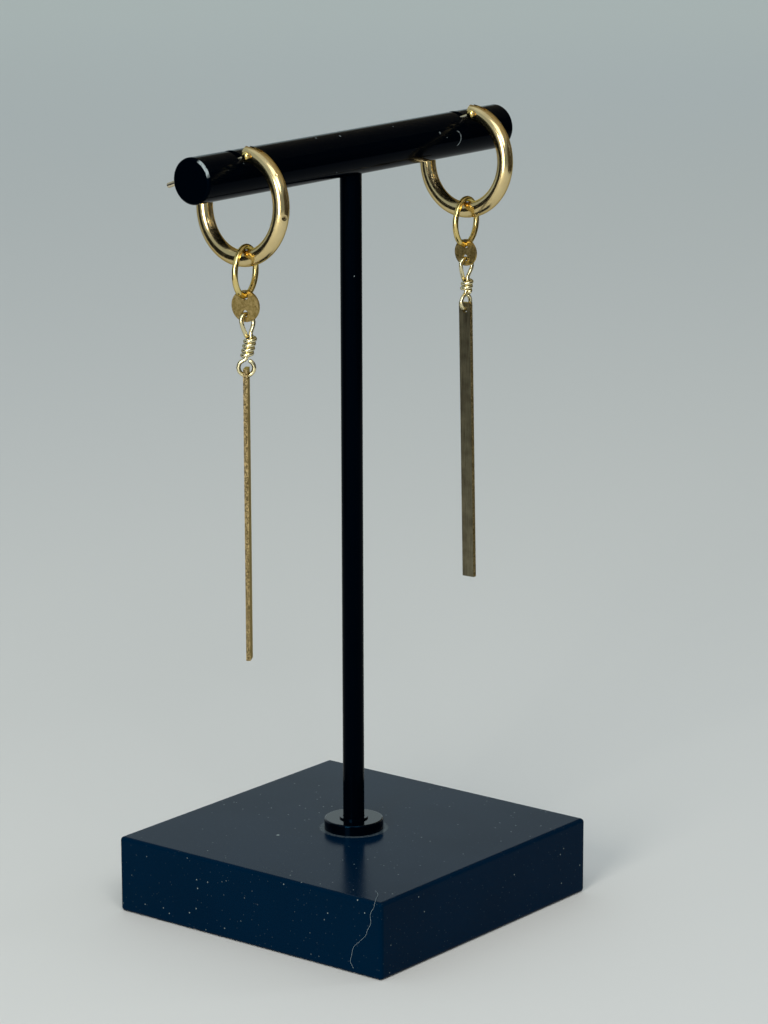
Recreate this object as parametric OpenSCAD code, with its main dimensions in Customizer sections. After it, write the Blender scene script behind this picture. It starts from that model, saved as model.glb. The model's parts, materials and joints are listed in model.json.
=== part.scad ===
// Pair of bar earrings hanging on a T-bar display stand.
// Millimetres, +Z up, origin at the centre of the base's underside, cross bar along X.

/* [Stand] */
// Side of the square base
base_side = 60; // [50:1:90]
// Height of the base
base_h = 14; // [10:0.5:25]
// Radius on the edges and corners of the base
base_round = 0.7; // [0.3:0.1:1.5]
// Diameter of the stem
stem_d = 3.85; // [3:0.05:5]
// Depth that the stem goes into the base
stem_seat = 8; // [4:0.5:9]
// Diameter of the collar
collar_d = 10.7; // [8:0.1:16]
// Height of the collar
collar_h = 1.9; // [1:0.1:3]
// Height of the small boss on the collar
boss_h = 0.3; // [0.1:0.1:1]
// Width of the boss's shoulder round the stem
boss_w = 0.6; // [0.3:0.1:1.5]
// Height of the cross bar's axis
bar_axis_h = 136.9; // [120:0.1:170]
// Diameter of the cross bar
cross_d = 8; // [7.5:0.1:9]
// Length of the cross bar
cross_l = 84.5; // [80:0.1:120]
// Radius on the ends of the cross bar
cross_round = 0.5; // [0.2:0.1:1]
// Width of the slots that hold the earring posts
slot_w = 1.3; // [1.2:0.05:2]

/* [Hoops] */
// Radius of the hoop's centre line
hoop_r = 8.8; // [8.7:0.05:10]
// Diameter of the hoop's tube
tube_d = 2.8; // [2.4:0.02:3]
// Angle from the top of the hoop to its front end
hoop_front = 4; // [4:1:12]
// Angle from the top of the hoop to its back end
hoop_back = 76; // [75:1:90]
// Distance from the hoop's centre to the cross bar's axis, forwards
hoop_forward = 3.55; // [3.5:0.05:4.5]
// Lean of both hoops about the line of their post
hoop_lean = 4.4; // [0:0.1:6]
// Diameter of the post's wire
post_d = 0.88; // [0.7:0.02:1]
// Length of the post from its pin to its tip
post_l = 20.4; // [17:0.1:22]
// Angle by which the post falls towards the back
post_fall = 19.8; // [17:0.1:22]
// Diameter of the post's flat lug
lug_d = 1.7; // [1.4:0.1:2]
// Thickness of the lug
lug_t = 0.8; // [0.5:0.02:0.8]
// Distance from the tube's end to the lug's pin
pin_set = 1.2; // [1:0.1:1.6]
// Diameter of the lug's pin
pin_d = 0.6; // [0.4:0.05:0.8]
// Diameter of the pin's heads
pin_head_d = 1.2; // [0.8:0.05:1.3]
// Depth of the catch hole in the hoop's back end
catch_depth = 1.5; // [0.5:0.1:3]

/* [Ring and disc] */
// Radius of the jump ring's centre line
ring_r = 4.1; // [3.8:0.01:4.6]
// Diameter of the jump ring's wire
ring_wire_d = 1.02; // [0.8:0.02:1.1]
// Angle of the butt seam in the jump ring, up from the horizontal
seam_at = 24; // [-40:1:50]
// Width of the butt seam
seam_w = 0.1; // [0.05:0.01:0.3]
// Diameter of the left disc
left_disc_d = 5.4; // [4.5:0.1:7]
// Diameter of the right disc
right_disc_d = 4.8; // [4.5:0.1:7]
// Thickness of the disc
disc_t = 0.45; // [0.3:0.05:0.6]
// Diameter of the disc's upper hole
disc_top_hole_d = 1.3; // [1.26:0.02:1.6]
// Metal left above the disc's upper hole
disc_top_rim = 0.3; // [0.25:0.01:0.5]
// Diameter of the disc's lower hole
disc_low_hole_d = 1.2; // [1.1:0.02:1.3]
// Metal left below the disc's lower hole
disc_low_rim = 0.85; // [0.5:0.01:1]

/* [Wire link] */
// Diameter of the link's wire
link_wire_d = 0.72; // [0.5:0.02:0.8]
// Width of the upper loop, over its centre line
loop_w = 2.5; // [2:0.1:3]
// Height of the upper loop, from the wraps to its top
loop_h = 3.9; // [3:0.05:5]
// Radius of the wraps' centre line
wrap_r = 0.74; // [0.7:0.01:0.9]
// Number of wraps on the left link
left_wraps = 4; // [2:0.5:6]
// Number of wraps on the right link
right_wraps = 2.5; // [2:0.5:6]
// Rise of one wrap
wrap_pitch = 0.8; // [0.74:0.01:1]
// Straight wire between the eye and the wraps
neck_l = 0.2; // [0.1:0.05:0.5]
// Sideways bend of the left link at the top of its wraps
left_kink = 0.8; // [0:0.1:1.2]
// Sideways bend of the right link at the top of its wraps
right_kink = 0.3; // [0:0.1:1.2]
// Radius of the lower eye's centre line
eye_r = 1.33; // [1.2:0.01:1.6]

/* [Bar] */
// Length of the bar
bar_l = 50.8; // [30:0.1:54]
// Width of the bar
bar_w = 2.5; // [2:0.1:4]
// Thickness of the bar
bar_t = 0.75; // [0.5:0.05:0.9]
// Diameter of the hole in the bar
bar_hole_d = 1.08; // [0.98:0.02:1.2]
// Metal left above the hole in the bar
bar_rim = 0.8; // [0.6:0.05:1.2]

/* [Placing] */
// Distance of the left earring from the cross bar's left end
left_inset = 8.95; // [6:0.05:14]
// Distance of the right earring from the cross bar's right end
right_inset = 13.65; // [6:0.05:16]
// Height of the cross bar's axis above the left hoop's centre
left_down = 4.85; // [4.5:0.05:5]
// Height of the cross bar's axis above the right hoop's centre
right_down = 4.45; // [4.4:0.05:5]
// Turn of the left hoop about the vertical
left_yaw = 3.3; // [0:0.1:5]
// Turn of the right hoop about the vertical
right_yaw = 1.3; // [0:0.1:5]
// Distance from the left hoop's lowest point forwards to its drop
left_slip = 1.1; // [0:0.1:2]
// Distance from the right hoop's lowest point forwards to its drop
right_slip = 0.5; // [0:0.1:2]
// Lean of the right bar towards the front
right_lean = 1.1; // [0:0.1:2]
// Clearance between pieces that hang in each other
hang_gap = 0.07; // [0.05:0.01:0.1]
// Clearance under the link's loop, which hangs askew in the disc
loop_gap = 0.1; // [0.08:0.01:0.2]
// Clearance round the stem and the pins
fit_gap = 0.05; // [0.02:0.01:0.1]
// Clearance of the post in its slot
slot_gap = 0.1; // [0.05:0.01:0.3]

/* [Hidden] */
$fn = 96;

LACQUER = [0.03, 0.04, 0.06];
PALE_GOLD = [0.80, 0.69, 0.42];
RICH_GOLD = [0.83, 0.66, 0.27];
BRUSHED_GOLD = [0.60, 0.52, 0.31];
POST_GOLD = [0.74, 0.66, 0.47];

// Where each hoop hangs: along the bar, its turn, its centre's depth and its drop's slip
OUT = 0;
YAW = 1;
DOWN = 2;
SLIP = 3;
left_place = [left_inset - cross_l / 2, left_yaw, left_down, left_slip];
right_place = [cross_l / 2 - right_inset, right_yaw, right_down, right_slip];

// How each drop differs. The first four are turns about the vertical, from the cross bar's direction:
// the ring, the loop and the eye give the direction of their plane, the disc and the bar that of their hole.
RING = 0;
DISC = 1;
LOOP = 2;
EYE = 3;
DISC_D = 4;
WRAPS = 5;
KINK = 6;
LEAN = 7;
left_drop = [15, 7, -12, -59, left_disc_d, left_wraps, left_kink, 0];
right_drop = [10, -2, -15, 0, right_disc_d, right_wraps, right_kink, right_lean];
kink_turn = -52; // direction in which the links are bent

tube_r = tube_d / 2;
ring_wire_r = ring_wire_d / 2;
wire_r = link_wire_d / 2;
slack = 0.5; // how far a cutting tool runs past a face

// How much a wire bent to radius r rises over half of a plate's thickness t
function bend_rise(r, t) = r - sqrt(r * r - t * t / 4);

// Heights along the drop, measured from the tube's centre line at the bottom of the hoop
ring_top_z = tube_r + ring_wire_r + hang_gap;
ring_z = ring_top_z - ring_r;
disc_seat_z = ring_z - ring_r + ring_wire_r + bend_rise(ring_r, disc_t) + hang_gap;
function disc_z(drop) = disc_seat_z + disc_top_rim - drop[DISC_D] / 2;
function disc_low_z(drop) = disc_seat_z + disc_top_rim - drop[DISC_D] + disc_low_rim;
function loop_top_z(drop) = disc_low_z(drop) + loop_gap + bend_rise(loop_w / 2, disc_t) + wire_r;

// Heights inside the wire link, measured from the bottom of its wraps
wrap_foot = wire_r + neck_l;
function loop_foot(drop) = wrap_foot + drop[WRAPS] * wrap_pitch;
eye_drop = eye_r + wire_r / 2;
function link_z(drop) = loop_top_z(drop) - loop_foot(drop) - loop_h;
function eye_low_z(drop) = link_z(drop) - eye_drop - eye_r;
function bar_seat_z(drop) = eye_low_z(drop) + wire_r + bend_rise(eye_r, bar_t) + hang_gap;

// Angle from the top of the hoop to the post's pin
pin_at = hoop_front + pin_set / hoop_r * 180 / PI;

function unit(v) = v / norm(v);
function turned(v, a) = [v[0] * cos(a) - v[1] * sin(a), v[0] * sin(a) + v[1] * cos(a), v[2]];

// A point of a hoop's plane, given backwards and upwards from its centre, measured from the bar's axis
function hoop_point(p, place) =
    [0, -hoop_forward, -place[DOWN]]
    + turned([p[1] * sin(hoop_lean), p[0], p[1] * cos(hoop_lean)], -place[YAW]);

// Where the post's centre line passes the bar's axis
function post_crossing(place) =
    let (pin = hoop_point([-sin(pin_at), cos(pin_at)] * hoop_r, place),
         run = [cos(post_fall), -sin(post_fall)] * post_l,
         tip = hoop_point([-sin(pin_at), cos(pin_at)] * hoop_r + run, place))
    pin + (tip - pin) * pin[1] / (pin[1] - tip[1]);

function heading(p, i) = i == 0 ? unit(p[1] - p[0])
                       : i == len(p) - 1 ? unit(p[i] - p[i - 1])
                       : unit(unit(p[i + 1] - p[i]) + unit(p[i] - p[i - 1]));
function carried(side, along) = unit(side - along * (side * along));

// A wire with flat ends along a path, as one closed mesh
module wire(path, r, sides, first_side)
{
    count = len(path);
    normals = [for (i = 0, n = carried(first_side, heading(path, 0)); i < count;
                    i = i + 1, n = i < count ? carried(n, heading(path, i)) : n) n];
    points = [for (i = [0:count - 1], k = [0:sides - 1])
                  let (a = 360 * k / sides, along = heading(path, i))
                  path[i] + r * (cos(a) * normals[i] + sin(a) * cross(along, normals[i]))];
    skin = [for (i = [0:count - 2], k = [0:sides - 1])
                let (a = i * sides + k, b = i * sides + (k + 1) % sides)
                each [[a, a + sides, b + sides], [a, b + sides, b]]];
    caps = [[for (k = [0:sides - 1]) k], [for (k = [sides - 1:-1:0]) (count - 1) * sides + k]];
    polyhedron(points, concat(skin, caps), convexity = 10);
}

// A block centred on Z whose edges and corners are all rounded
module rounded_block(side, h, r)
{
    half = side / 2 - r;
    for (turn = [0, 90]) rotate(turn) {
        translate([-side / 2, -half, r]) cube([side, 2 * half, h - 2 * r]);
        for (y = [-half, half], z = [r, h - r]) {
            translate([-half, y, z]) rotate([0, 90, 0]) cylinder(r = r, h = 2 * half);
        }
    }
    translate([-half, -half, 0]) cube([2 * half, 2 * half, h]);
    for (x = [-half, half], y = [-half, half]) {
        translate([x, y, r]) cylinder(r = r, h = h - 2 * r);
        for (z = [r, h - r]) translate([x, y, z]) sphere(r = r);
    }
}

// A rod along +Z from 0 to h with both ends rounded
module rounded_rod(d, h, r)
{
    rotate_extrude() {
        translate([0, r]) square([d / 2, h - 2 * r]);
        square([d / 2 - r, h]);
        for (y = [r, h - r]) translate([d / 2 - r, y]) circle(r = r);
    }
}

// Places children in a hoop's own frame: Y runs backwards and Z upwards in the hoop's plane
module at_hoop(place)
{
    translate([place[OUT], -hoop_forward, bar_axis_h - place[DOWN]]) rotate([0, 0, -place[YAW]])
        rotate([0, hoop_lean, 0]) children();
}

// Places children upright at the tube's centre line, its slip forwards from the bottom of a hoop
module at_drop(place)
{
    a = place[SLIP] / hoop_r * 180 / PI;
    translate([place[OUT], 0, bar_axis_h] + hoop_point([-sin(a), -cos(a)] * hoop_r, place)) children();
}

module hoop()
{
    color(PALE_GOLD) difference() {
        // The tube runs from its front end down and round to its back end
        rotate([0, 90, 0]) rotate([0, 0, 180 - hoop_back])
            rotate_extrude(angle = hoop_back + hoop_front - 360) translate([hoop_r, 0]) circle(r = tube_r);
        at_pin() {
            cube([post_d + 2 * fit_gap, 2 * pin_set + lug_d, 2 * tube_d], center = true);
            rotate([0, 90, 0]) cylinder(d = pin_d + 2 * fit_gap, h = 2 * tube_d, center = true);
        }
        rotate([-hoop_back, 0, 0]) translate([0, -catch_depth, hoop_r]) rotate([-90, 0, 0])
            cylinder(d = post_d + 2 * fit_gap, h = catch_depth + slack);
    }
}

// Places children at the lug's pin, with Y along the tube
module at_pin()
{
    rotate([pin_at, 0, 0]) translate([0, 0, hoop_r]) children();
}

module post()
{
    color(POST_GOLD) at_pin() {
        rotate([0, 90, 0]) {
            cylinder(d = lug_d, h = lug_t, center = true);
            cylinder(d = pin_d, h = tube_d + 2 * fit_gap + slack / 2, center = true);
            for (z = [-1, 1]) translate([0, 0, z * (tube_r + fit_gap + slack / 4)])
                cylinder(d = pin_head_d, h = slack / 2, center = true);
        }
        rotate([-pin_at - post_fall, 0, 0]) rotate([-90, 0, 0]) cylinder(d = post_d, h = post_l);
    }
}

module jump_ring(drop)
{
    seam = seam_w / ring_r * 180 / PI;
    color(RICH_GOLD) rotate([0, 0, drop[RING]]) translate([0, 0, ring_z]) rotate([90, 0, 0])
        rotate([0, 0, seam_at + seam / 2]) rotate_extrude(angle = 360 - seam) translate([ring_r, 0])
            circle(r = ring_wire_r);
}

module disc(drop)
{
    top_hole_z = drop[DISC_D] / 2 - disc_top_rim - disc_top_hole_d / 2;
    low_hole_z = disc_low_rim + disc_low_hole_d / 2 - drop[DISC_D] / 2;
    color(BRUSHED_GOLD) rotate([0, 0, drop[DISC]]) translate([0, 0, disc_z(drop)]) rotate([0, 90, 0])
    difference() {
        cylinder(d = drop[DISC_D], h = disc_t, center = true);
        translate([-top_hole_z, 0]) cylinder(d = disc_top_hole_d, h = disc_t + slack, center = true);
        translate([-low_hole_z, 0]) cylinder(d = disc_low_hole_d, h = disc_t + slack, center = true);
    }
}

// The link's wire: round the lower eye, up inside the wraps, round the upper loop and down the wraps
function link_path(drop) =
    let (eye_steps = 16, leg_steps = 5, top_steps = 8, wrap_steps = 12, open = 26,
         loop_turn = drop[LOOP], eye_turn = drop[EYE], foot = loop_foot(drop),
         bend_z = foot + loop_h - loop_w / 2,
         // Share of the loop's half width at share s of the way down a leg
         leg = function (s) (1 + cos(180 * s)) / 2,
         eye = [for (i = [eye_steps:-1:0]) let (a = open + (360 - 2 * open) * i / eye_steps)
                    turned([-eye_r * sin(a), 0, eye_r * cos(a) - eye_drop], eye_turn)],
         core = [[0, 0, wrap_foot - wire_r / 2], [0, 0, foot]],
         leg_up = [for (i = [1:leg_steps]) let (s = i / leg_steps)
                       turned([loop_w / 2 * (1 - leg(s)), 0, foot + (bend_z - foot) * s], loop_turn)],
         top = [for (i = [1:top_steps - 1]) let (a = 180 * i / top_steps)
                    turned([loop_w / 2 * cos(a), 0, bend_z + loop_w / 2 * sin(a)], loop_turn)],
         // The second leg swings round as it comes down, so it runs into the first wrap
         swing = 60,
         leg_down = [for (i = [0:leg_steps]) let (s = i / leg_steps)
                         turned([-wrap_r - (loop_w / 2 - wrap_r) * leg(s), 0,
                                 bend_z - (bend_z - foot) * s], loop_turn - swing * s * s)],
         coil = [for (i = [1:drop[WRAPS] * wrap_steps]) let (a = 360 * i / wrap_steps)
                     turned([-wrap_r, 0, foot - wrap_pitch * i / wrap_steps], loop_turn - swing - a)],
         // The whole wire is bent sideways, most at the top of the wraps
         bend = function (z) max(0, z > foot ? (foot + loop_h - z) / loop_h : z / foot))
    [for (p = concat(eye, core, leg_up, top, leg_down, coil))
        p + turned([drop[KINK] * bend(p[2]), 0, 0], kink_turn)];

module wire_link(drop)
{
    color(PALE_GOLD) translate([0, 0, link_z(drop)])
        wire(link_path(drop), wire_r, 6, turned([0, 1, 0], drop[EYE]));
}

module hanging_bar(drop)
{
    // Measured from the bottom of the eye's centre line, about which the bar leans
    seat = bar_seat_z(drop) - eye_low_z(drop);
    color(BRUSHED_GOLD) translate([0, 0, eye_low_z(drop)]) rotate([0, 0, drop[EYE]]) rotate([-drop[LEAN], 0, 0])
    difference() {
        translate([-bar_t / 2, -bar_w / 2, seat + bar_rim - bar_l]) cube([bar_t, bar_w, bar_l]);
        translate([0, 0, seat - bar_hole_d / 2]) rotate([0, 90, 0])
            cylinder(d = bar_hole_d, h = bar_t + slack, center = true);
    }
}

module base()
{
    color(LACQUER) difference() {
        rounded_block(base_side, base_h, base_round);
        translate([0, 0, base_h - stem_seat]) cylinder(d = stem_d + 2 * fit_gap, h = stem_seat + slack);
    }
}

module collar()
{
    bore_r = stem_d / 2 + fit_gap;
    round_r = collar_h / 6;
    color(LACQUER) translate([0, 0, base_h + fit_gap]) rotate_extrude() {
        translate([bore_r, 0]) square([collar_d / 2 - bore_r, collar_h - round_r]);
        translate([bore_r, 0]) square([collar_d / 2 - bore_r - round_r, collar_h]);
        translate([collar_d / 2 - round_r, collar_h - round_r]) circle(r = round_r);
        translate([bore_r, 0]) square([boss_w, collar_h + boss_h]);
    }
}

module stem()
{
    foot = base_h - stem_seat + fit_gap;
    color(LACQUER) translate([0, 0, foot]) cylinder(d = stem_d, h = bar_axis_h - foot);
}

module cross_bar()
{
    color(LACQUER) difference() {
        translate([-cross_l / 2, 0, bar_axis_h]) rotate([0, 90, 0]) rounded_rod(cross_d, cross_l, cross_round);
        translate([0, 0, bar_axis_h - cross_d]) cylinder(d = stem_d + 2 * fit_gap, h = cross_d + fit_gap);
        for (place = [left_place, right_place])
            translate([place[OUT], 0, bar_axis_h] + post_crossing(place)) rotate([-post_fall, 0, 0])
                translate([-slot_w / 2, -cross_d, -post_d / 2 - slot_gap]) cube([slot_w, 2 * cross_d, cross_d]);
    }
}

module left_hoop() at_hoop(left_place) hoop();
module left_post() at_hoop(left_place) post();
module left_jump_ring() at_drop(left_place) jump_ring(left_drop);
module left_disc() at_drop(left_place) disc(left_drop);
module left_wire_link() at_drop(left_place) wire_link(left_drop);
module left_bar() at_drop(left_place) hanging_bar(left_drop);
module right_hoop() at_hoop(right_place) hoop();
module right_post() at_hoop(right_place) post();
module right_jump_ring() at_drop(right_place) jump_ring(right_drop);
module right_disc() at_drop(right_place) disc(right_drop);
module right_wire_link() at_drop(right_place) wire_link(right_drop);
module right_bar() at_drop(right_place) hanging_bar(right_drop);

base();
collar();
stem();
cross_bar();
left_hoop();
left_post();
left_jump_ring();
left_disc();
left_wire_link();
left_bar();
right_hoop();
right_post();
right_jump_ring();
right_disc();
right_wire_link();
right_bar();
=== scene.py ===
import json
import math

import bmesh
import bpy
from mathutils import Matrix, Vector


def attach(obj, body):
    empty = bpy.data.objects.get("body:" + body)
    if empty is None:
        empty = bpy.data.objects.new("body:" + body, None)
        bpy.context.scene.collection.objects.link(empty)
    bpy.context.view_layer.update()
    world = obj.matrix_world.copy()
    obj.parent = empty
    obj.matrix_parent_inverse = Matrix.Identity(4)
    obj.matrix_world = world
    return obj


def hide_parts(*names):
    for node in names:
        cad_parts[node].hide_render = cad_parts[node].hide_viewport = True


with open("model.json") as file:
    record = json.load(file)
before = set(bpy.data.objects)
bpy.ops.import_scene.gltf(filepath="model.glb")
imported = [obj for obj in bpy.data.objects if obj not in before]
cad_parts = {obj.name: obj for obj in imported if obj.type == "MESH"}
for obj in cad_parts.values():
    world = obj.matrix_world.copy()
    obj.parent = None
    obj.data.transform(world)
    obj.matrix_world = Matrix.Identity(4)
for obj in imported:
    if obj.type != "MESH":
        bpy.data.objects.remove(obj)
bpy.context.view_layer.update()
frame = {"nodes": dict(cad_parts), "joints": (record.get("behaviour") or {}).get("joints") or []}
nodes = frame["nodes"]
joints = {joint["name"]: joint for joint in frame["joints"]}
mm = 0.001
print("frame loaded:", len(nodes), "nodes")


# sRGB hex to the linear values that Blender's sockets take
def toLinear(hexColour):
    parts = [int(hexColour[i:i + 2], 16) / 255 for i in (1, 3, 5)]
    return tuple(c / 12.92 if c <= 0.04045 else ((c + 0.055) / 1.055) ** 2.4
                 for c in parts) + (1.0,)


# texture scale that gives a pattern of that many millimetres
def perMm(size):
    return 1000.0 / size


# adds a shader node, sets what is given and links what comes from another node
def addNode(tree, kind, inputs=None, **settings):
    node = tree.nodes.new("ShaderNode" + kind)
    for name, value in settings.items():
        setattr(node, name, value)
    for name, value in (inputs or {}).items():
        if isinstance(value, bpy.types.NodeSocket):
            tree.links.new(value, node.inputs[name])
        else:
            node.inputs[name].default_value = value
    return node


def newMaterial(name):
    material = bpy.data.materials.new(name)
    material.use_nodes = True
    material.node_tree.nodes.clear()
    return material, material.node_tree


# one even, matt colour, for what is too small or too dark to show more
def evenMaterial(name, colour, roughness):
    material, tree = newMaterial(name)
    shader = addNode(tree, "BsdfPrincipled", {"Base Color": toLinear(colour),
                                              "Roughness": roughness})
    addNode(tree, "OutputMaterial", {"Surface": shader.outputs["BSDF"]})
    return material


def meshObject(name, build):
    bm = bmesh.new()
    build(bm)
    bmesh.ops.recalc_face_normals(bm, faces=bm.faces)
    mesh = bpy.data.meshes.new(name)
    bm.to_mesh(mesh)
    bm.free()
    mesh.shade_smooth()
    obj = bpy.data.objects.new(name, mesh)
    bpy.context.scene.collection.objects.link(obj)
    return obj


# camera: a long lens from the left front, a little above the cross bar
cameraSpec = {"place": (-0.524344, -0.421029, 0.233833), "azimuth": -51.7155,
              "elevation": 13.4786, "roll": -0.1584, "focalPixels": 3895.741,
              "longSide": 1024, "sensor": 36.0, "clip": (0.02, 40.0)}


def makeCamera(spec):
    a, e, r = (math.radians(spec[k]) for k in ("azimuth", "elevation", "roll"))
    back = Vector((math.sin(a) * math.cos(e), -math.cos(a) * math.cos(e), math.sin(e)))
    level = (-back).cross(Vector((0, 0, 1))).normalized()
    upright = level.cross(-back)
    right = level * math.cos(r) + upright * math.sin(r)
    up = upright * math.cos(r) - level * math.sin(r)
    data = bpy.data.cameras.new("camera")
    data.sensor_width = spec["sensor"]
    data.lens = spec["focalPixels"] / spec["longSide"] * spec["sensor"]
    data.clip_start, data.clip_end = spec["clip"]
    camera = bpy.data.objects.new("camera", data)
    facing = Matrix((right, up, back)).transposed().to_4x4()
    camera.matrix_world = Matrix.Translation(spec["place"]) @ facing
    bpy.context.scene.collection.objects.link(camera)
    bpy.context.scene.camera = camera


makeCamera(cameraSpec)
bpy.context.scene.view_settings.view_transform = "Standard"
print("camera set")

# floor and light, in metres and watts
studio = {"floor": "#D7D6CF", "floorFar": "#D2D3D3", "floorSize": 16.0, "floorCloud": 900,
          "floorRough": 0.85, "floorShine": 0.2, "cardRough": 0.95, "lookAt": (0, 0, 0.08),
          "sky": "#B4C1C9", "skyBack": 0.90, "skyFront": 0.52, "skyTurn": (-0.35, 0.45)}
softboxes = {
    "windowLight": {"place": (-1.25, -0.30, 0.42), "size": (0.40, 0.80), "power": 12.5,
                    "colour": "#FFFBF2"},
    "overheadLight": {"place": (-0.30, -0.25, 1.50), "size": (2.0, 2.0), "power": 3.6,
                      "colour": "#FBFDFF"},
    "nearLight": {"place": (-0.35, -0.35, 0.75), "size": (0.50, 0.50), "power": 1.5,
                  "colour": "#FFFDF8"},
    "backLight": {"place": (1.25, 0.98, 0.50), "size": (2.0, 0.9), "power": 2.3,
                  "colour": "#EAFFF6"},
    "frontLight": {"place": (-0.75, -0.95, 1.05), "size": (0.40, 0.40), "power": 3.2,
                   "colour": "#FFFFFF"},
    "sideLight": {"place": (0.95, -0.75, 0.48), "size": (0.16, 0.60), "power": 1.4,
                  "colour": "#F4F8FF"},
}
# dark cards that only reflections see: they give the bars and the hoops their dark sides
blackCards = {
    "leftCard": {"place": (-0.21, 0.19, 0.09), "size": (0.20, 0.26), "colour": "#0B0F14"},
    "rightCard": {"place": (0.22, -0.33, 0.15), "size": (0.72, 0.36), "colour": "#383226"},
    "topCard": {"place": (0.50, -0.10, 0.60), "size": (1.4, 1.3), "colour": "#A69B86"},
}


def flatRectangle(name, width, height):
    across, up = width / 2, height / 2
    corners = ((-across, -up), (across, -up), (across, up), (-across, up))
    return meshObject(name, lambda bm: bm.faces.new([bm.verts.new((x, y, 0))
                                                     for x, y in corners]))


# puts a card or a light in its place, facing the middle of the stand
def faceStand(obj, place):
    obj.location = place
    toStand = Vector(studio["lookAt"]) - obj.location
    obj.rotation_euler = toStand.to_track_quat("-Z", "Y").to_euler()


# rolled matt paint on board: an even pale ground, a trace cooler here and there
def makeFloor(spec):
    floor = flatRectangle("floor", spec["floorSize"], spec["floorSize"])
    material, tree = newMaterial("matt painted board")
    place = addNode(tree, "TexCoord").outputs["Object"]
    shade = addNode(tree, "TexNoise", {"Vector": place, "Scale": perMm(spec["floorCloud"]),
                                       "Detail": 1.0})
    tone = addNode(tree, "Mix", {0: shade.outputs["Fac"], 6: toLinear(spec["floor"]),
                                 7: toLinear(spec["floorFar"])}, data_type="RGBA")
    shader = addNode(tree, "BsdfPrincipled", {
        "Base Color": tone.outputs[2], "Roughness": spec["floorRough"],
        "Specular IOR Level": spec["floorShine"]})
    addNode(tree, "OutputMaterial", {"Surface": shader.outputs["BSDF"]})
    floor.data.materials.append(material)


# flocked card: its pile swallows nearly all light, so it reflects as a dark patch
def makeCards(specs):
    for name, spec in specs.items():
        card = flatRectangle(name, *spec["size"])
        faceStand(card, spec["place"])
        card.visible_camera = card.visible_diffuse = card.visible_shadow = False
        card.data.materials.append(evenMaterial("black flock card", spec["colour"],
                                                studio["cardRough"]))


def makeLights(specs):
    for name, spec in specs.items():
        data = bpy.data.lights.new(name, "AREA")
        data.shape = "RECTANGLE"
        data.size, data.size_y = spec["size"]
        data.energy = spec["power"]
        data.color = toLinear(spec["colour"])[:3]
        light = bpy.data.objects.new(name, data)
        faceStand(light, spec["place"])
        bpy.context.scene.collection.objects.link(light)


# soft light from all round, brighter behind the stand than in front of it
def makeSky(spec):
    world = bpy.data.worlds.new("studio")
    world.use_nodes = True
    world.node_tree.nodes.clear()
    tree = world.node_tree
    look = addNode(tree, "SeparateXYZ", {0: addNode(tree, "TexCoord").outputs["Generated"]})
    strength = addNode(tree, "MapRange", {
        "Value": look.outputs["Y"], "From Min": spec["skyTurn"][0],
        "From Max": spec["skyTurn"][1], "To Min": spec["skyFront"],
        "To Max": spec["skyBack"]}, interpolation_type="SMOOTHSTEP")
    background = addNode(tree, "Background", {"Color": toLinear(spec["sky"]),
                                              "Strength": strength.outputs["Result"]})
    addNode(tree, "OutputWorld", {"Surface": background.outputs["Background"]})
    bpy.context.scene.world = world


makeFloor(studio)
makeCards(blackCards)
makeLights(softboxes)
makeSky(studio)
print("floor and lights set")


# scuff marks, chips, dust, painted highlights and painted reflections: each mark is what lies
# near its spot on the arc of that radius round its centre, and a mark without a centre is a dot;
# a fine grit breaks all of them up
def scuffsAndGlints(tree, place, marks):
    grit = addNode(tree, "TexNoise", {"Vector": place, "Scale": perMm(0.5), "Detail": 3.0})
    broken = addNode(tree, "MapRange", {"Value": grit.outputs["Fac"], "From Min": 0.35,
                                        "From Max": 0.5, "To Min": 0.2, "To Max": 1.0})
    total = None
    for mark in marks:
        spot, reach, width = mark["spot"], mark["reach"], mark["width"]
        centre, radius = mark.get("centre", spot), mark.get("radius", 0.0)
        away = addNode(tree, "VectorMath", {0: place, 1: [c * mm for c in spot]},
                       operation="DISTANCE")
        near = addNode(tree, "MapRange", {
            "Value": away.outputs["Value"], "From Min": 0.7 * reach * mm,
            "From Max": reach * mm, "To Min": mark["strength"], "To Max": 0.0})
        ring = addNode(tree, "VectorMath", {0: place, 1: [c * mm for c in centre]},
                       operation="DISTANCE")
        off = addNode(tree, "Math", {0: ring.outputs["Value"], 1: radius * mm},
                      operation="SUBTRACT")
        off = addNode(tree, "Math", {0: off.outputs["Value"]}, operation="ABSOLUTE")
        line = addNode(tree, "MapRange", {
            "Value": off.outputs["Value"], "From Min": 0.25 * width * mm,
            "From Max": 0.5 * width * mm, "To Min": 1.0, "To Max": 0.0})
        drawn = addNode(tree, "Math", {0: near.outputs["Result"], 1: line.outputs["Result"]},
                        operation="MULTIPLY")
        total = drawn if total is None else addNode(
            tree, "Math", {0: total.outputs["Value"], 1: drawn.outputs["Value"]},
            operation="MAXIMUM")
    return addNode(tree, "Math", {0: total.outputs["Value"], 1: broken.outputs["Result"]},
                   operation="MULTIPLY")


# one round fleck in each cell: full up to the first size and gone at the second, in cells
def flecks(tree, place, cell, size, share):
    apart = addNode(tree, "TexVoronoi", {"Vector": place, "Scale": perMm(cell)})
    return addNode(tree, "MapRange", {
        "Value": apart.outputs["Distance"], "From Min": size[0], "From Max": size[1],
        "To Min": share, "To Max": 0.0})


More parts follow.
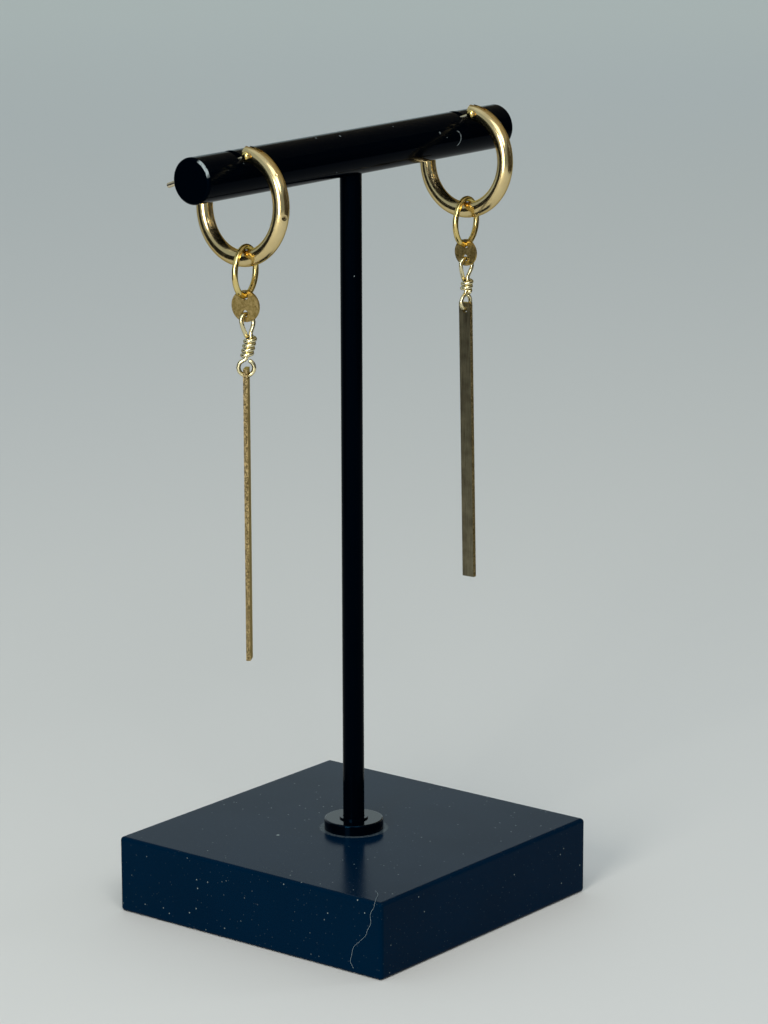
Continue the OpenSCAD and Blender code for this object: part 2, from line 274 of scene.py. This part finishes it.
# stem, cross bar and collar; gloss is the coat's IOR, low because it mirrors so little
coating = {"black": "#000206", "dustAndGlint": "#8C9799", "sheen": "#3F8FC8", "gloss": 1.08,
           "collarGloss": 1.26, "smooth": 0.08, "worn": 0.15, "cloud": 14.0, "peel": 0.9,
           "peelDepth": 0.004, "dustCell": 3.0, "dustSize": (0.02, 0.045), "dustShare": 0.7,
           # the first mark is a painted reflection: a pale arc on the bar beside the right hoop
           "marks": ({"spot": (26.4, -4.0, 136.8), "centre": (25.0, -3.95, 136.8),
                      "radius": 1.48, "reach": 1.7, "width": 0.26, "strength": 0.8},
                     # a painted highlight: a thin pale arc on the rim of the bar's left end
                     {"spot": (-41.95, -3.0, 139.5), "centre": (-38.5, 0.0, 136.9),
                      "radius": 5.24, "reach": 1.9, "width": 0.12, "strength": 1.0},
                     {"spot": (20.62, -3.74, 138.3), "reach": 0.3, "width": 0.6,
                      "strength": 0.8},
                     {"spot": (-10.9, -1.17, 140.73), "reach": 0.35, "width": 0.5,
                      "strength": 0.5},
                     {"spot": (-5.12, -1.78, 140.48), "reach": 0.4, "width": 0.5,
                      "strength": 0.5})}


# black powder coat, baked: a deep gloss over a faint orange peel, with stray dust; its marks add
# a painted highlight and a painted reflection in the same pale colour
def powderCoatedSteel(name, gloss):
    material, tree = newMaterial(name)
    place = addNode(tree, "TexCoord").outputs["Object"]
    peel = addNode(tree, "TexNoise", {"Vector": place, "Scale": perMm(coating["peel"]),
                                      "Detail": 2.0})
    cloud = addNode(tree, "TexNoise", {"Vector": place, "Scale": perMm(coating["cloud"]),
                                       "Detail": 3.0})
    rough = addNode(tree, "MapRange", {
        "Value": cloud.outputs["Fac"], "From Min": 0.3, "From Max": 0.7,
        "To Min": coating["smooth"], "To Max": coating["worn"]})
    speckAndGlint = flecks(tree, place, coating["dustCell"], coating["dustSize"],
                   coating["dustShare"])
    # these marks are dust dots, a painted highlight and a painted reflection
    worn = scuffsAndGlints(tree, place, coating["marks"])
    speckAndGlint = addNode(tree, "Math", {0: speckAndGlint.outputs["Result"], 1: worn.outputs["Value"]},
                    operation="MAXIMUM")
    tone = addNode(tree, "Mix", {0: speckAndGlint.outputs["Value"], 6: toLinear(coating["black"]),
                                 7: toLinear(coating["dustAndGlint"])}, data_type="RGBA")
    bump = addNode(tree, "Bump", {"Strength": 0.25, "Distance": coating["peelDepth"] * mm,
                                  "Height": peel.outputs["Fac"]})
    shader = addNode(tree, "BsdfPrincipled", {
        "Base Color": tone.outputs[2], "Roughness": rough.outputs["Result"], "IOR": gloss,
        "Specular Tint": toLinear(coating["sheen"]), "Normal": bump.outputs["Normal"]})
    addNode(tree, "OutputMaterial", {"Surface": shader.outputs["BSDF"]})
    return material


# base; its marks are the chip in the top and a painted reflection: a faint pale ring round the
# collar's foot
board = {"blue": "#00182D", "black": "#001325", "dustAndGlint": "#8F9B98", "sheen": "#3F9FE8",
         "gloss": 1.10, "smooth": 0.14, "worn": 0.22, "cloud": 18.0, "grain": 0.6,
         "grainDepth": 0.006, "drift": (0.38, 0.54), "dustCell": 1.9,
         "dustSize": (0.03, 0.085), "dustShare": 0.75, "hazeCell": 0.95,
         "hazeSize": (0.04, 0.13), "hazeShare": 0.10,
         "marks": ({"spot": (-11.85, 7.99, 14.0), "reach": 0.5, "width": 0.8,
                    "strength": 0.9},
                   {"spot": (0.0, 0.0, 14.0), "radius": 5.7, "reach": 9.0, "width": 1.3,
                    "strength": 0.16})}


# sprayed satin lacquer on fibreboard: a soft sheen, bluish on the sides, with pale flecks
def satinLacqueredBoard():
    material, tree = newMaterial("satin sprayed lacquer")
    place = addNode(tree, "TexCoord").outputs["Object"]
    grain = addNode(tree, "TexNoise", {"Vector": place, "Scale": perMm(board["grain"]),
                                       "Detail": 3.0})
    cloud = addNode(tree, "TexNoise", {"Vector": place, "Scale": perMm(board["cloud"]),
                                       "Detail": 4.0})
    rough = addNode(tree, "MapRange", {
        "Value": cloud.outputs["Fac"], "From Min": 0.3, "From Max": 0.7,
        "To Min": board["smooth"], "To Max": board["worn"]})
    # the larger flecks gather in drifts, the finest lie everywhere
    speckAndGlint = flecks(tree, place, board["dustCell"], board["dustSize"], board["dustShare"])
    drift = addNode(tree, "MapRange", {
        "Value": cloud.outputs["Fac"], "From Min": board["drift"][0],
        "From Max": board["drift"][1], "To Min": 0.0, "To Max": 1.0})
    speckAndGlint = addNode(tree, "Math", {0: speckAndGlint.outputs["Result"], 1: drift.outputs["Result"]},
                    operation="MULTIPLY")
    haze = flecks(tree, place, board["hazeCell"], board["hazeSize"], board["hazeShare"])
    speckAndGlint = addNode(tree, "Math", {0: speckAndGlint.outputs["Value"], 1: haze.outputs["Result"]},
                    operation="MAXIMUM")
    # the chip, and a painted reflection: a faint pale ring round the collar's foot
    worn = scuffsAndGlints(tree, place, board["marks"])
    speckAndGlint = addNode(tree, "Math", {0: speckAndGlint.outputs["Value"], 1: worn.outputs["Value"]},
                    operation="MAXIMUM")
    body = addNode(tree, "Mix", {0: cloud.outputs["Fac"], 6: toLinear(board["blue"]),
                                 7: toLinear(board["black"])}, data_type="RGBA")
    tone = addNode(tree, "Mix", {0: speckAndGlint.outputs["Value"], 6: body.outputs[2],
                                 7: toLinear(board["dustAndGlint"])}, data_type="RGBA")
    bump = addNode(tree, "Bump", {"Strength": 0.2, "Distance": board["grainDepth"] * mm,
                                  "Height": grain.outputs["Fac"]})
    shader = addNode(tree, "BsdfPrincipled", {
        "Base Color": tone.outputs[2], "Roughness": rough.outputs["Result"],
        "IOR": board["gloss"], "Specular Tint": toLinear(board["sheen"]),
        "Normal": bump.outputs["Normal"]})
    addNode(tree, "OutputMaterial", {"Surface": shader.outputs["BSDF"]})
    return material


# hoops, jump rings, link wires and posts; rim is how the gold darkens where it turns away,
# and a knock's clean is how little its middle is tarnished
goldRim = "#AD9560"
tarnish = "#4A3418"
tubeGold = {"light": "#E8D4A2", "deep": "#CFB57C", "wave": 4.0, "rub": 0.6, "smooth": 0.13,
            "worn": 0.24, "waveDepth": 0.03, "rubDepth": 0.001, "rim": goldRim,
            "knocks": ({"spot": (-34.43, -13.57, 131.13), "width": 1.10, "depth": 0.20,
                        "clean": 0.0},
                       {"spot": (-34.05, -11.51, 138.05), "width": 0.6, "depth": 0.06,
                        "clean": 0.5},
                       {"spot": (-34.2, -12.6, 135.2), "width": 0.5, "depth": 0.05,
                        "clean": 0.6},
                       {"spot": (-32.2, -9.3, 140.1), "width": 0.5, "depth": 0.05,
                        "clean": 0.5})}
ringGold = {"light": "#F3DF9A", "deep": "#D6B768", "wave": 2.2, "rub": 0.4, "smooth": 0.10,
            "worn": 0.20, "waveDepth": 0.05, "rubDepth": 0.001, "rim": "#5E4E2A"}
wireGold = {"light": "#F2E9C2", "deep": "#DACB98", "wave": 1.8, "rub": 0.3, "smooth": 0.12,
            "worn": 0.24, "waveDepth": 0.01, "rubDepth": 0.001, "rim": "#5E5230"}
postGold = {"light": "#EADFC6", "deep": "#CFC2A2", "wave": 0.8, "rub": 0.2, "smooth": 0.18,
            "worn": 0.34, "waveDepth": 0.008, "rubDepth": 0.002, "rim": goldRim}


# buffed or drawn gold: long soft reflections, broken by polishing waves and rub marks
def polishedGold(name, spec):
    material, tree = newMaterial(name)
    place = addNode(tree, "TexCoord").outputs["Object"]
    wave = addNode(tree, "TexNoise", {"Vector": place, "Scale": perMm(spec["wave"]),
                                      "Detail": 2.0})
    rub = addNode(tree, "TexNoise", {"Vector": place, "Scale": perMm(spec["rub"]),
                                     "Detail": 4.0, "Roughness": 0.7})
    rough = addNode(tree, "MapRange", {
        "Value": rub.outputs["Fac"], "From Min": 0.35, "From Max": 0.7,
        "To Min": spec["smooth"], "To Max": spec["worn"]})
    tone = addNode(tree, "Mix", {0: wave.outputs["Fac"], 6: toLinear(spec["light"]),
                                 7: toLinear(spec["deep"])}, data_type="RGBA")
    soft = addNode(tree, "Bump", {"Strength": 0.5, "Distance": spec["waveDepth"] * mm,
                                  "Height": wave.outputs["Fac"]})
    fine = addNode(tree, "Bump", {"Strength": 0.3, "Distance": spec["rubDepth"] * mm,
                                  "Height": rub.outputs["Fac"],
                                  "Normal": soft.outputs["Normal"]})
    # knocks: each is a small bowl at its own spot, tarnished where no cloth reaches
    for knock in spec.get("knocks", ()):
        away = addNode(tree, "VectorMath", {0: place, 1: [c * mm for c in knock["spot"]]},
                       operation="DISTANCE")
        bowl = addNode(tree, "MapRange", {
            "Value": away.outputs["Value"], "From Min": 0.0,
            "From Max": knock["width"] / 2 * mm, "To Min": 0.0, "To Max": 1.0},
            interpolation_type="SMOOTHSTEP")
        bright = addNode(tree, "Math", {0: knock["clean"], 1: bowl.outputs["Result"]},
                         operation="ADD", use_clamp=True)
        tone = addNode(tree, "Mix", {0: bright.outputs["Value"], 6: toLinear(tarnish),
                                     7: tone.outputs[2]}, data_type="RGBA")
        fine = addNode(tree, "Bump", {"Strength": 1.0, "Distance": knock["depth"] * mm,
                                      "Height": bowl.outputs["Result"],
                                      "Normal": fine.outputs["Normal"]})
    shader = addNode(tree, "BsdfPrincipled", {
        "Base Color": tone.outputs[2], "Metallic": 1.0, "Roughness": rough.outputs["Result"],
        "Specular Tint": toLinear(spec["rim"]), "Normal": fine.outputs["Normal"]})
    addNode(tree, "OutputMaterial", {"Surface": shader.outputs["BSDF"]})
    return material


# discs and bars; real strokes are near 0.05 mm, drawn 0.16 and 0.3 mm wide so that they show
sheetGold = {"light": "#CDB479", "deep": "#9E864C", "strokes": (0.6, 0.5, 0.0),
             "scratch": 0.30, "scratchDepth": 0.006, "stretch": 0.8, "cloud": 0.7,
             "smooth": 0.26, "worn": 0.42, "rim": goldRim}
barGold = {"light": "#8B846B", "deep": "#655F4D", "strokes": (0.0, 0.0, 0.0),
           "scratch": 0.16, "scratchDepth": 0.006, "stretch": 0.03, "cloud": 2.5,
           "smooth": 0.26, "worn": 0.42, "rim": "#F5D898",
           "cut": {"light": "#A08F68", "deep": "#4B4026", "grain": 0.26, "rough": 0.55}}


# sheet rubbed one way with a fine abrasive: a streaky sheen across the strokes
def brushedGold(name, spec, narrow=None):
    material, tree = newMaterial(name)
    place = addNode(tree, "TexCoord").outputs["Object"]
    along = addNode(tree, "Mapping", {"Vector": place, "Rotation": spec["strokes"],
                                      "Scale": (1, 1, spec["stretch"])})
    hair = addNode(tree, "TexNoise", {"Vector": along.outputs["Vector"],
                                      "Scale": perMm(spec["scratch"]), "Detail": 3.0,
                                      "Roughness": 0.6})
    cloud = addNode(tree, "TexNoise", {"Vector": place, "Scale": perMm(spec["cloud"]),
                                       "Detail": 4.0})
    both = addNode(tree, "Math", {0: hair.outputs["Fac"], 1: cloud.outputs["Fac"]},
                   operation="ADD")
    share = addNode(tree, "MapRange", {"Value": both.outputs["Value"], "From Min": 0.75,
                                       "From Max": 1.25})
    tone = addNode(tree, "Mix", {0: share.outputs["Result"], 6: toLinear(spec["deep"]),
                                 7: toLinear(spec["light"])}, data_type="RGBA")
    rough = addNode(tree, "MapRange", {
        "Value": hair.outputs["Fac"], "From Min": 0.3, "From Max": 0.7,
        "To Min": spec["smooth"], "To Max": spec["worn"]})
    bump = addNode(tree, "Bump", {"Strength": 0.5, "Distance": spec["scratchDepth"] * mm,
                                  "Height": hair.outputs["Fac"]})
    if narrow:
        # the narrow sides keep the grain of the shears: browner and duller, with bright crumbs
        cut = spec["cut"]
        facing = addNode(tree, "VectorMath", {
            0: addNode(tree, "TexCoord").outputs["Normal"], 1: narrow},
            operation="DOT_PRODUCT")
        facing = addNode(tree, "Math", {0: facing.outputs["Value"]}, operation="ABSOLUTE")
        share = addNode(tree, "MapRange", {"Value": facing.outputs["Value"],
                                           "From Min": 0.5, "From Max": 0.75})
        grain = addNode(tree, "TexNoise", {"Vector": place, "Scale": perMm(cut["grain"]),
                                           "Detail": 4.0, "Roughness": 0.7})
        crumb = addNode(tree, "MapRange", {"Value": grain.outputs["Fac"], "From Min": 0.44,
                                           "From Max": 0.60})
        shorn = addNode(tree, "Mix", {0: crumb.outputs["Result"], 6: toLinear(cut["deep"]),
                                      7: toLinear(cut["light"])}, data_type="RGBA")
        tone = addNode(tree, "Mix", {0: share.outputs["Result"], 6: tone.outputs[2],
                                     7: shorn.outputs[2]}, data_type="RGBA")
        rough = addNode(tree, "MapRange", {"Value": share.outputs["Result"],
                                           "To Min": rough.outputs["Result"],
                                           "To Max": cut["rough"]})
    shader = addNode(tree, "BsdfPrincipled", {
        "Base Color": tone.outputs[2], "Metallic": 1.0, "Roughness": rough.outputs["Result"],
        "Specular Tint": toLinear(spec["rim"]), "Normal": bump.outputs["Normal"]})
    addNode(tree, "OutputMaterial", {"Surface": shader.outputs["BSDF"]})
    return material


# the two bars hang turned by different angles, so each has its own narrow sides
finishes = {
    "base": satinLacqueredBoard(),
    "steel": powderCoatedSteel("gloss powder-coated steel", coating["gloss"]),
    "collar": powderCoatedSteel("gloss enamelled steel", coating["collarGloss"]),
    "hoop": polishedGold("buffed gold-filled tube", tubeGold),
    "ring": polishedGold("polished yellow gold wire", ringGold),
    "link": polishedGold("drawn pale gold wire", wireGold),
    "disc": brushedGold("satin gold sheet", sheetGold),
    "left_bar": brushedGold("brushed gold bar, turned", barGold, (0.857, 0.515, 0.0)),
    "right_bar": brushedGold("brushed gold bar", barGold, (0.0, 1.0, 0.0)),
    "post": polishedGold("drawn gold-filled wire", postGold),
}
finishOfNode = {"base": "base", "collar": "collar", "stem": "steel", "cross_bar": "steel"}
for side in ("left", "right"):
    finishOfNode.update({
        side + "_hoop": "hoop", side + "_post": "post", side + "_jump_ring": "ring",
        side + "_disc": "disc", side + "_wire_link": "link", side + "_bar": side + "_bar"})
for name, finish in finishOfNode.items():
    nodes[name].data.materials.clear()
    nodes[name].data.materials.append(finishes[finish])
print("materials on", len(finishOfNode), "nodes")

# wire links: one round wire through the eye, the loop and the wraps, in mm and degrees
wireLink = {"wire": 0.355, "coilWire": 0.385, "cadWire": 0.36, "neck": 0.2,
            "loopWidth": 2.5, "loopHeight": 3.9, "wrapRadius": 0.74, "wrapPitch": 0.8,
            "eyeRadius": 1.33, "open": 26.0, "swing": 60.0, "bendTurn": -52.0,
            "eyeSteps": 16, "legSteps": 5, "archSteps": 8, "turnSteps": 12,
            "thickenOver": 3, "between": 4, "sides": 16,
            "left": {"loop": -12.0, "eye": -59.0, "wraps": 4.0, "bend": 0.8, "tail": 0.0},
            "right": {"loop": -15.0, "eye": 0.0, "wraps": 2.5, "bend": 0.3, "tail": 0.6}}
# the cut ends of a wire are slightly rounded: steps out and their thickness, in radii
wireEnd = ((0.2, 0.9), (0.35, 0.6))


def turned(x, z, degrees):
    a = math.radians(degrees)
    return Vector((x * math.cos(a), x * math.sin(a), z))


# the same line as the CAD solid's, from the eye's open end to the last wrap
def linkPath(spec, own):
    foot = spec["cadWire"] + spec["neck"]
    loopFoot = foot + own["wraps"] * spec["wrapPitch"]
    eyeDrop = spec["eyeRadius"] + spec["cadWire"] / 2
    bend = loopFoot + spec["loopHeight"] - spec["loopWidth"] / 2
    half, wrap = spec["loopWidth"] / 2, spec["wrapRadius"]
    eyeSteps, legSteps = spec["eyeSteps"], spec["legSteps"]
    archSteps, turnSteps = spec["archSteps"], spec["turnSteps"]
    path = []
    for i in range(eyeSteps, -1, -1):
        a = math.radians(spec["open"] + (360 - 2 * spec["open"]) * i / eyeSteps)
        path.append(turned(-spec["eyeRadius"] * math.sin(a),
                           spec["eyeRadius"] * math.cos(a) - eyeDrop, own["eye"]))
    path += [Vector((0, 0, foot - spec["cadWire"] / 2)), Vector((0, 0, loopFoot))]
    # up one leg of the loop, over its arch and down the other leg
    for i in range(1, legSteps + 1):
        s = i / legSteps
        path.append(turned(half * (1 - (1 + math.cos(math.pi * s)) / 2),
                           loopFoot + (bend - loopFoot) * s, own["loop"]))
    for i in range(1, archSteps):
        a = math.pi * i / archSteps
        path.append(turned(half * math.cos(a), bend + half * math.sin(a), own["loop"]))
    for i in range(legSteps + 1):
        s = i / legSteps
        path.append(turned(-wrap - (half - wrap) * (1 + math.cos(math.pi * s)) / 2,
                           bend - (bend - loopFoot) * s,
                           own["loop"] - spec["swing"] * s * s))
    coilFrom = len(path)
    for i in range(1, int(own["wraps"] * turnSteps) + 1):
        path.append(turned(-wrap, loopFoot - spec["wrapPitch"] * i / turnSteps,
                           own["loop"] - spec["swing"] - 360 / turnSteps * i))
    if own["tail"]:
        run = (path[-1] - path[-2]).normalized()
        path.append(path[-1] + run * own["tail"])
    # the link is bent sideways, most at the loop's foot and not at all at its two ends
    for p in path:
        above = (loopFoot + spec["loopHeight"] - p.z) / spec["loopHeight"]
        share = max(0, above if p.z > loopFoot else p.z / loopFoot)
        p += turned(own["bend"] * share, 0, spec["bendTurn"])
    return path, coilFrom, eyeDrop + spec["eyeRadius"]


def smoothLine(points, between):
    line = []
    for i in range(len(points) - 1):
        a, b = points[max(i - 1, 0)], points[i]
        c, d = points[i + 1], points[min(i + 2, len(points) - 1)]
        for k in range(between):
            t = k / between
            line.append(0.5 * (2 * b + (c - a) * t + (2 * a - 5 * b + 4 * c - d) * t * t
                               + (3 * b - a - 3 * c + d) * t * t * t))
    return line + [points[-1]]


# quads from each ring of points to the next
def joinRings(bm, rings):
    for a, b in zip(rings, rings[1:]):
        for k in range(len(a)):
            after = (k + 1) % len(a)
            bm.faces.new((a[k], a[after], b[after], b[k]))


def sweptWire(name, line, radii, sides):
    def endStation(station, way, out, thick):
        centre, run, across, r = station
        return centre + run * way * r * out, run, across, r * thick

    def build(bm):
        count = len(line)
        ahead = [(line[min(i + 1, count - 1)] - line[max(i - 1, 0)]).normalized()
                 for i in range(count)]
        side = ahead[0].orthogonal().normalized()
        stations = []
        for i in range(count):
            side = (side - ahead[i] * side.dot(ahead[i])).normalized()
            stations.append((line[i], ahead[i], side.copy(), radii[i]))
        stations = ([endStation(stations[0], -1, *step) for step in reversed(wireEnd)]
                    + stations + [endStation(stations[-1], 1, *step) for step in wireEnd])
        angles = [2 * math.pi * k / sides for k in range(sides)]
        rings = []
        for centre, run, across, r in stations:
            other = run.cross(across)
            rings.append([bm.verts.new(centre + r * (math.cos(a) * across
                                                     + math.sin(a) * other))
                          for a in angles])
        joinRings(bm, rings)
        bm.faces.new(rings[0][::-1])
        bm.faces.new(rings[-1])

    return meshObject(name, build)


for side in ("left", "right"):
    path, coilFrom, eyeFoot = linkPath(wireLink, wireLink[side])
    eye = Vector(joints[side + "_bar_swing"]["pos_m"])
    start = Vector((eye.x, eye.y, eye.z + eyeFoot * mm))
    between = wireLink["between"]
    line = [start + p * mm for p in smoothLine(path, between)]
    # the coil's turns were pressed together, so they are a hair fuller
    full = [min(1, max(0, i / between - coilFrom) / wireLink["thickenOver"])
            for i in range(len(line))]
    thin, thick = wireLink["wire"], wireLink["coilWire"]
    wire = sweptWire(side + "_link_wire", line,
                     [(thin + (thick - thin) * f) * mm for f in full], wireLink["sides"])
    wire.data.materials.append(finishes["link"])
    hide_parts(side + "_wire_link")
    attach(wire, side + "_drop")
print("wire links made")

# domed rivet heads on the pins of the posts, in mm and degrees
rivet = {"radius": 0.72, "rise": 0.46, "out": 1.70, "around": 24, "rows": 8,
         "pinAt": 11.813, "hoopRadius": 8.8, "lean": 4.4,
         "left": {"hoop": (-33.3, -3.55, 132.05), "yaw": -3.3},
         "right": {"hoop": (28.6, -3.55, 132.45), "yaw": -1.3}}


def turn(degrees, axis):
    return Matrix.Rotation(math.radians(degrees), 4, axis)


# half a ball, pressed down to the rivet's rise, on one end of the pin
def rivetHead(name, spec, pin, way):
    around, rows = spec["around"], spec["rows"]

    def build(bm):
        rings = []
        for row in range(rows):
            up = math.pi / 2 * row / rows
            rings.append([bm.verts.new((math.cos(up) * math.cos(2 * math.pi * k / around),
                                        math.cos(up) * math.sin(2 * math.pi * k / around),
                                        math.sin(up))) for k in range(around)])
        joinRings(bm, rings)
        top = bm.verts.new((0, 0, 1))
        for k in range(around):
            bm.faces.new((rings[-1][k], rings[-1][(k + 1) % around], top))
        bm.faces.new(rings[0][::-1])
        dome = (pin @ Matrix.Translation((way * spec["out"], 0, 0)) @ turn(way * 90, "Y")
                @ Matrix.Diagonal((spec["radius"], spec["radius"], spec["rise"], 1)))
        bm.transform(Matrix.Scale(mm, 4) @ dome)

    head = meshObject(name, build)
    # the rim stays crisp, where the dome meets its flat underside
    for edge in head.data.edges:
        edge.use_edge_sharp = max(edge.vertices) < around
    return head


for side in ("left", "right"):
    pin = (Matrix.Translation(rivet[side]["hoop"]) @ turn(rivet[side]["yaw"], "Z")
           @ turn(rivet["lean"], "Y") @ turn(rivet["pinAt"], "X")
           @ Matrix.Translation((0, 0, rivet["hoopRadius"])))
    for end, way in (("outer", -1), ("inner", 1)):
        head = rivetHead(side + "_rivet_" + end, rivet, pin, way)
        head.data.materials.append(finishes["ring"])
        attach(head, "stand")
print("rivets set")

# softened edges on the cut pieces, in mm
edges = {"width": {"bar": 0.10, "disc": 0.05, "hoop": 0.06, "post": 0.08}, "segments": 2,
         "sharperThan": 40}
for piece, width in edges["width"].items():
    for side in ("left", "right"):
        bevel = nodes[side + "_" + piece].modifiers.new("edge", "BEVEL")
        bevel.width = width * mm
        bevel.segments = edges["segments"]
        bevel.limit_method = "ANGLE"
        bevel.angle_limit = math.radians(edges["sharperThan"])
print("edges softened on", 2 * len(edges["width"]), "nodes")

# a stray fibre that hangs over the base's left edge by its front corner: spun cotton, dull
# and pale, with no shine
fibre = {"radius": 0.024, "between": 6, "sides": 6, "colour": "#7F8E92", "rough": 0.8,
         "run": ((-25.2, -24.9, 14.02), (-26.6, -26.6, 14.12), (-28.6, -27.8, 14.16),
                 (-29.9, -28.5, 13.85), (-30.06, -28.4, 13.0), (-30.03, -27.9, 12.3),
                 (-30.02, -27.6, 11.3), (-30.02, -27.7, 10.0), (-30.02, -27.0, 8.7),
                 (-30.02, -26.5, 7.5), (-30.02, -25.2, 6.2), (-30.02, -23.9, 4.9),
                 (-30.02, -23.5, 3.4), (-30.02, -23.2, 2.1), (-30.02, -23.9, 1.1))}
fibreLine = smoothLine([Vector(point) * mm for point in fibre["run"]], fibre["between"])
hair = sweptWire("base_fibre", fibreLine, [fibre["radius"] * mm] * len(fibreLine),
                 fibre["sides"])
hair.data.materials.append(evenMaterial("cotton fibre", fibre["colour"], fibre["rough"]))
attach(hair, "stand")
print("fibre laid")
